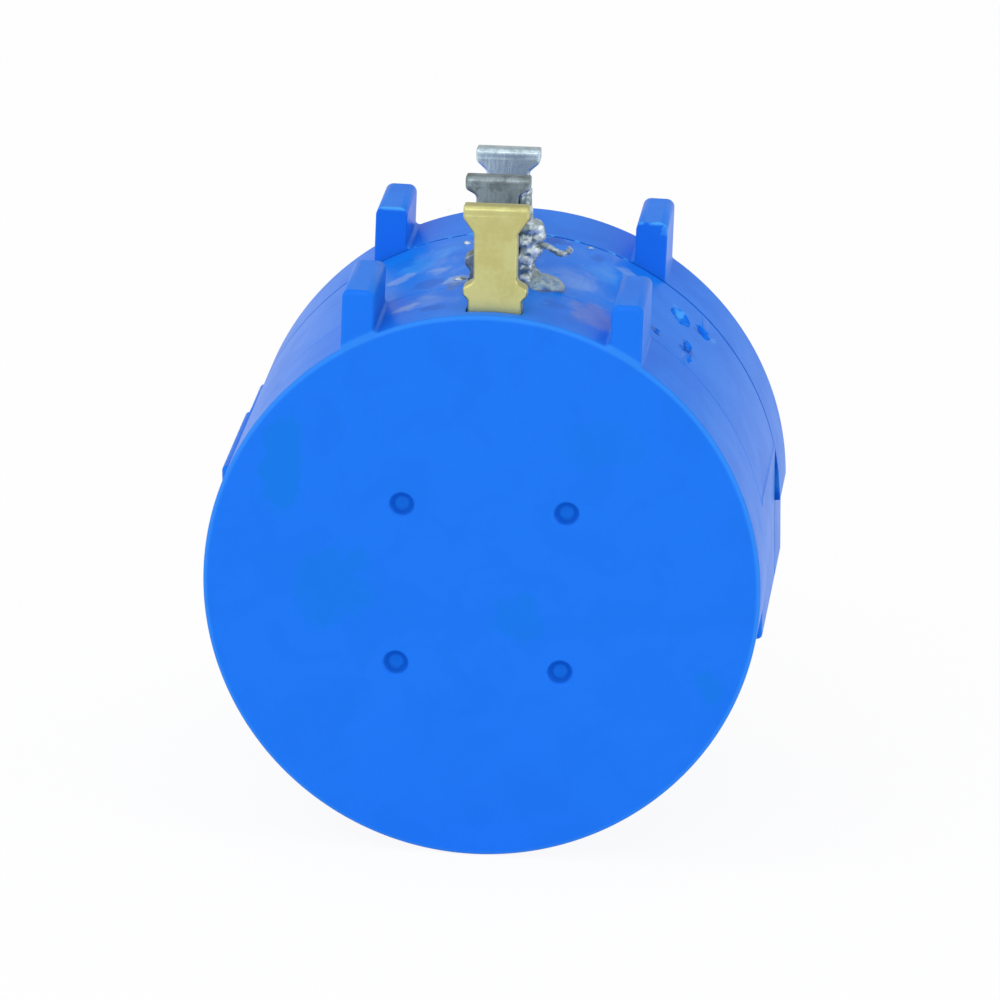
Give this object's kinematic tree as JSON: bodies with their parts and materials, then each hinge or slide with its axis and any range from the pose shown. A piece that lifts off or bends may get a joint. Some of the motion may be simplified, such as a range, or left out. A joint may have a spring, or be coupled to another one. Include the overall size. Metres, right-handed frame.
{
  "type": "multi-turn potentiometer",
  "caption": "Round blue panel-mount multi-turn potentiometer with side ears, solder lugs on top, a threaded bushing and a slotted shaft",
  "frame": {"origin": "on the shaft's axis, at the mounting face of the front lid, where the threaded bushing goes through the panel", "axes": "+Y along the shaft, towards its slotted end; +Z towards the solder lugs; +X to the right seen from the rear"},
  "size_m": [0.0222, 0.0397, 0.0265],
  "materials": {
    "blue_plastic": "moulded, satin, lightly scuffed",
    "natural_plastic": "moulded, plain",
    "brass": "stamped, slightly dull",
    "tinned_brass": "tinned, with old solder",
    "solder": "dull solder",
    "steel": "turned",
    "nickel_plate": "nickel plated",
    "resistance_wire": "wound wire"
  },
  "bodies": {
    "housing": {"front_lid": "blue_plastic", "barrel": "blue_plastic", "rear_cap": "blue_plastic", "bushing": "nickel_plate", "thrust_washer_front": "brass", "thrust_washer_rear": "brass", "resistance_element": "resistance_wire", "element_lead_front": "brass", "element_lead_rear": "brass", "terminal_wiper": "brass", "terminal_middle": "tinned_brass", "terminal_front": "tinned_brass", "collector_spring": "brass", "solder_lump": "solder", "wire_stub": "solder"},
    "rotor": {"shaft": "steel", "rotor_spool": "natural_plastic", "guide_rod": "steel", "takeoff_rod": "brass", "slip_ring": "brass", "retaining_ring": "steel"},
    "carriage": {"wiper_carriage": "natural_plastic", "wiper_contact": "brass", "takeoff_brush": "brass"}
  },
  "joints": [
    {"name": "shaft_turn", "type": "hinge", "parent": "housing", "child": "rotor", "pos_m": [0, 0, 0], "axis": [0, -1, 0], "range_deg": [-1800, 1800]},
    {"name": "carriage_travel", "type": "slide", "parent": "rotor", "child": "carriage", "axis": [0, -1, 0], "range_m": [-0.0048, 0.0048]}
  ],
  "couplings": [
    {"joint": "carriage_travel", "follows": "shaft_turn", "m_per_rad": 0.00015247}
  ]
}
